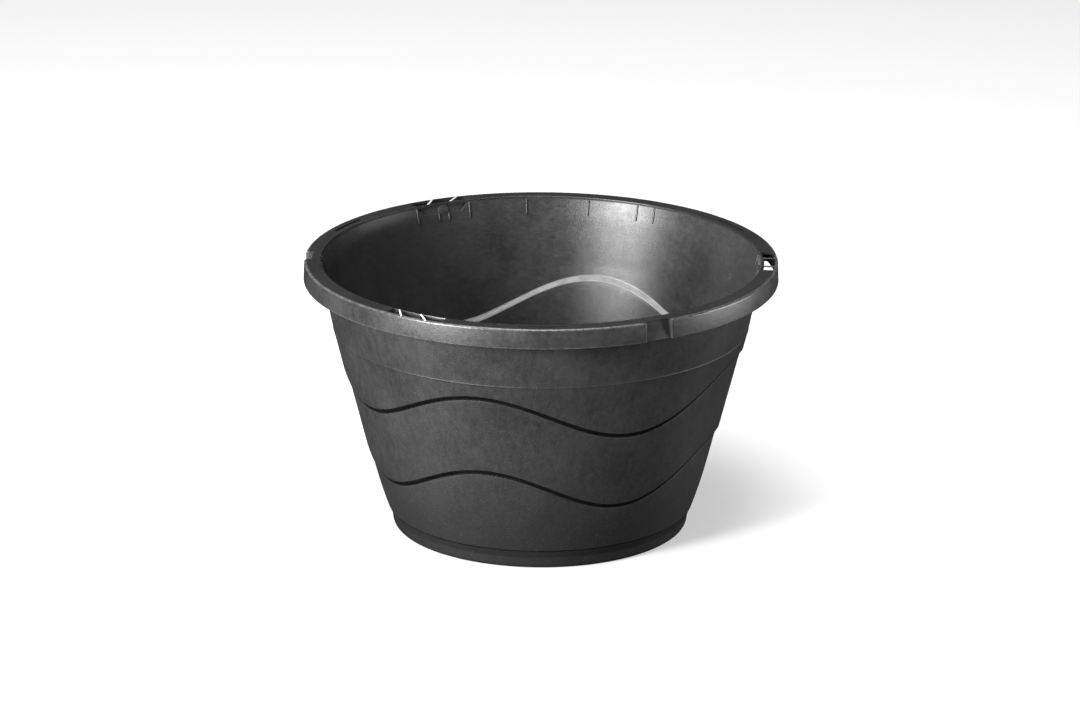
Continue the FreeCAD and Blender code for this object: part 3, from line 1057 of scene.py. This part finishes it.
class TUB_OT_gussets(bpy.types.Operator):
    """Keep the webs under the flange, with the rim's finish"""
    bl_idname = "tub.gussets"
    bl_label = "Gussets"

    def execute(self, context):
        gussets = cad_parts["rim_gussets"]
        gussets.data.materials.clear()
        dress(gussets, handled_rim)
        return {"FINISHED"}


class TUB_OT_socket_bars(bpy.types.Operator):
    """Add the two round bars across each socket"""
    bl_idname = "tub.socket_bars"
    bl_label = "Socket bars"

    def execute(self, context):
        sockets = context.scene.tub_sockets
        rim = context.scene.tub_rim
        outer = RIM_HIGH.x - rim.skirt_flare - sockets.bar_gap
        inner = RIM_HIGH.x - rim.skirt_flare - rim.flange_width + sockets.bar_gap
        middle = (inner + outer) / 2
        radius = sockets.bar_diameter / 2
        slants = (sockets.bar_slant, 0.0, -sockets.bar_slant)
        count = 0
        for centre, slant in zip(repeated(sockets.centre), slants):
            along = middle * math.cos(slant)
            ends = [-along + math.sqrt(along ** 2 - middle ** 2 + limit ** 2)
                    for limit in (inner, outer)]
            mid = sum(ends) / 2
            deselect_everything()
            bpy.ops.mesh.primitive_cylinder_add(
                vertices=24, radius=radius, depth=ends[1] - ends[0],
                location=(middle + mid * math.cos(slant), mid * math.sin(slant),
                          RIM_HIGH.z - radius),
                rotation=(0.0, math.pi / 2, slant))
            bar = named("socket_bar")
            bevel_edges(bar, sharp(60.0), radius * 0.45, 3)
            close_up(bar)
            smooth(bar)
            for offset in BAR_OFFSETS:
                count += 1
                turn = centre + math.radians(offset)
                copy = turned_copy(bar, "socket_bar_%d" % count, turn)
                # Bars of the slanted sockets get the near-white painted highlight; the other
                # socket's bars get the rim's finish.
                settle(copy, "socket_bars", painted_highlight_bar if slant else handled_rim)
            bpy.data.objects.remove(bar, do_unlink=True)
        return {"FINISHED"}


class TUB_OT_tongues(bpy.types.Operator):
    """Shape one round-topped tongue and stand a copy in each of the wall's notches"""
    bl_idname = "tub.tongues"
    bl_label = "Latch tongues"

    def execute(self, context):
        shape = WallShape(context.scene)
        sizes = context.scene.tub_sockets
        wall = context.scene.tub_wall.wall
        half = sizes.tongue_width / 2
        base = shape.top - sizes.dip
        outline = [(half, base)]
        turns = 14
        for i in range(turns + 1):
            turn = math.pi * i / turns
            outline.append((half * math.cos(turn), shape.top - half + half * math.sin(turn)))
        outline.append((-half, base))
        tongue = draw_outline("latch_tongue", outline, upright=False)
        bpy.ops.mesh.extrude_region_move(TRANSFORM_OT_translate={"value": (wall, 0, 0)})
        close_up(tongue)
        for vertex in tongue.data.vertices:
            vertex.co.x += shape.plain(vertex.co.z) - wall
        bevel_edges(tongue, sharp(60.0), SOFT_EDGE, 2)
        close_up(tongue)
        smooth(tongue)
        for i, centre in enumerate(repeated(sizes.centre + math.radians(TONGUE_OFFSET))):
            copy = turned_copy(tongue, "latch_tongue_%d" % (i + 1), centre)
            settle(copy, "latch_tongues", handled_rim)
        bpy.data.objects.remove(tongue, do_unlink=True)
        return {"FINISHED"}


class TUB_OT_nesting_ribs(bpy.types.Operator):
    """Shape one rib of each height and copy them round the inside of the neck"""
    bl_idname = "tub.nesting_ribs"
    bl_label = "Nesting ribs"

    def execute(self, context):
        shape = WallShape(context.scene)
        sizes = context.scene.tub_sockets
        bottom = shape.top - sizes.rib_height
        tall = self.rib(shape, sizes, bottom, shape.top)
        short = self.rib(shape, sizes, bottom, shape.top - sizes.dip)
        groups = ((tall, TALL_RIB_OFFSETS), (short, SHORT_RIB_OFFSETS))
        count = 0
        for centre in repeated(sizes.centre):
            for model, offsets in groups:
                for offset in offsets:
                    count += 1
                    copy = turned_copy(model, "nesting_rib_%02d" % count,
                                       centre + math.radians(offset))
                    settle(copy, "nesting_ribs", drawn_lining)
        for model in (tall, short):
            bpy.data.objects.remove(model, do_unlink=True)
        return {"FINISHED"}

    def rib(self, shape, sizes, bottom, top):
        """Upright bar with softened edges that leans with the neck."""
        wall = shape.sizes.wall
        sunk = 0.0006
        deselect_everything()
        bpy.ops.mesh.primitive_cube_add(
            size=1.0, location=((sunk - sizes.rib_proud) / 2, 0.0, (bottom + top) / 2),
            scale=(sizes.rib_proud + sunk, sizes.rib_thickness, top - bottom))
        rib = named("nesting_rib")
        bevel_edges(rib, sharp(60.0), 0.0005, 3)
        for vertex in rib.data.vertices:
            vertex.co.x += shape.plain(vertex.co.z) - wall
        close_up(rib)
        smooth(rib, 50.0)
        return rib


class TUB_OT_studio(bpy.types.Operator):
    """Lay the floor, set the lamps and stand the camera"""
    bl_idname = "tub.studio"
    bl_label = "Studio"

    def execute(self, context):
        scene = context.scene
        sizes = scene.tub_studio
        deselect_everything()
        bpy.ops.mesh.primitive_plane_add(size=40.0, location=(0.0, 0.0, -0.0003))
        floor = named("studio_floor")
        dress(floor, studio_floor)
        floor.visible_glossy = False
        floor.visible_diffuse = False
        self.lamp("key_lamp", 2.7, -47.0, 14.0, (0.7, 1.2), sizes.key_power)
        self.lamp("top_lamp", 2.6, -20.0, 80.0, (1.6, 1.6), sizes.top_power)
        self.lamp("side_lamp", 2.4, 92.0, 1.0, (1.2, 0.32), sizes.side_power)
        self.light_room(scene, sizes.room)
        rise = sizes.camera_elevation
        back = Vector((0.0, -math.cos(rise), math.sin(rise)))
        place = Vector((0.0, 0.0, RIM_HIGH.z)) + sizes.camera_distance * back
        bpy.ops.object.camera_add(location=place)
        camera = bpy.context.object
        camera.name = "studio_camera"
        pitch = math.pi / 2 - rise - sizes.camera_aim
        camera.matrix_world = (Matrix.Translation(place)
                               @ Matrix.Rotation(sizes.camera_yaw, 4, "Z")
                               @ Matrix.Rotation(pitch, 4, "X")
                               @ Matrix.Rotation(sizes.camera_roll, 4, "Z"))
        camera.data.lens = sizes.camera_lens
        camera.data.sensor_width = 36.0
        camera.data.clip_end = 100.0
        scene.camera = camera
        scene.view_settings.view_transform = "Standard"
        return {"FINISHED"}

    def lamp(self, name, distance, side, elevation, size, power):
        """Soft rectangular lamp that faces the tub; side is degrees right of the camera."""
        turn, lift = math.radians(side), math.radians(elevation)
        target = Vector((0.0, 0.0, 0.15))
        back = Vector((math.sin(turn) * math.cos(lift), -math.cos(turn) * math.cos(lift),
                       math.sin(lift)))
        bpy.ops.object.light_add(type="AREA", location=target + distance * back)
        lamp = bpy.context.object
        lamp.name = name
        lamp.rotation_euler = (-back).to_track_quat("-Z", "Y").to_euler()
        lamp.data.shape = "RECTANGLE"
        lamp.data.size, lamp.data.size_y = size
        lamp.data.energy = power
        lamp.visible_camera = False

    def light_room(self, scene, brightness):
        """Dim room for reflections, pale where it is seen past the floor."""
        world = bpy.data.worlds.new("studio_room")
        room = Nodes(world)
        room.tree.nodes.clear()
        place = room.add("ShaderNodeTexCoord").outputs["Generated"]
        height = room.add("ShaderNodeSeparateXYZ", {"Vector": place}).outputs["Z"]
        fade = room.add("ShaderNodeMapRange", {
            "Value": height, "From Min": -0.25, "From Max": 0.05,
            "To Min": brightness * 0.25, "To Max": brightness})
        dim = room.add("ShaderNodeBackground", {
            "Color": (1.0, 1.0, 1.0, 1.0), "Strength": fade.outputs["Result"]})
        pale = room.add("ShaderNodeBackground", {"Color": (0.85, 0.85, 0.85, 1.0)})
        seen = room.add("ShaderNodeLightPath").outputs["Is Camera Ray"]
        mixer = room.add("ShaderNodeMixShader", {
            0: seen, 1: dim.outputs[0], 2: pale.outputs[0]})
        room.add("ShaderNodeOutputWorld", {"Surface": mixer.outputs[0]})
        scene.world = world


class TUB_PT_panel(bpy.types.Panel):
    """Sizes, finishes and build steps of the tub"""
    bl_idname = "TUB_PT_panel"
    bl_label = "Mixing tub"
    bl_space_type = "VIEW_3D"
    bl_region_type = "UI"
    bl_category = "Mixing tub"

    def draw(self, context):
        layout = self.layout
        for name, group in SIZE_GROUPS.items():
            box = layout.box()
            box.label(text=group.__doc__)
            for field in group.__annotations__:
                box.prop(getattr(context.scene, name), field)
        for operator in OPERATORS:
            layout.operator(operator.bl_idname)


SIZE_GROUPS = {
    "tub_wall": TubWallSizes,
    "tub_waves": TubWaveSizes,
    "tub_foot": TubFootSizes,
    "tub_rim": TubRimSizes,
    "tub_sockets": TubSocketSizes,
    "tub_finishes": TubFinishes,
    "tub_studio": TubStudioSizes,
}
OPERATORS = (
    TUB_OT_shell,
    TUB_OT_foot_band,
    TUB_OT_floor,
    TUB_OT_rim_ring,
    TUB_OT_gussets,
    TUB_OT_socket_bars,
    TUB_OT_tongues,
    TUB_OT_nesting_ribs,
    TUB_OT_studio,
)


def register():
    for group in SIZE_GROUPS.values():
        bpy.utils.register_class(group)
    for name, group in SIZE_GROUPS.items():
        setattr(bpy.types.Scene, name, PointerProperty(type=group))
    for operator in OPERATORS:
        bpy.utils.register_class(operator)
    bpy.utils.register_class(TUB_PT_panel)


def unregister():
    bpy.utils.unregister_class(TUB_PT_panel)
    for operator in reversed(OPERATORS):
        bpy.utils.unregister_class(operator)
    for name, group in SIZE_GROUPS.items():
        delattr(bpy.types.Scene, name)
        bpy.utils.unregister_class(group)


def main():
    register()
    bpy.ops.tub.shell()
    bpy.ops.tub.foot_band()
    bpy.ops.tub.floor()
    bpy.ops.tub.rim_ring()
    bpy.ops.tub.gussets()
    bpy.ops.tub.socket_bars()
    bpy.ops.tub.tongues()
    bpy.ops.tub.nesting_ribs()
    bpy.ops.tub.studio()


if __name__ == "__main__":
    main()
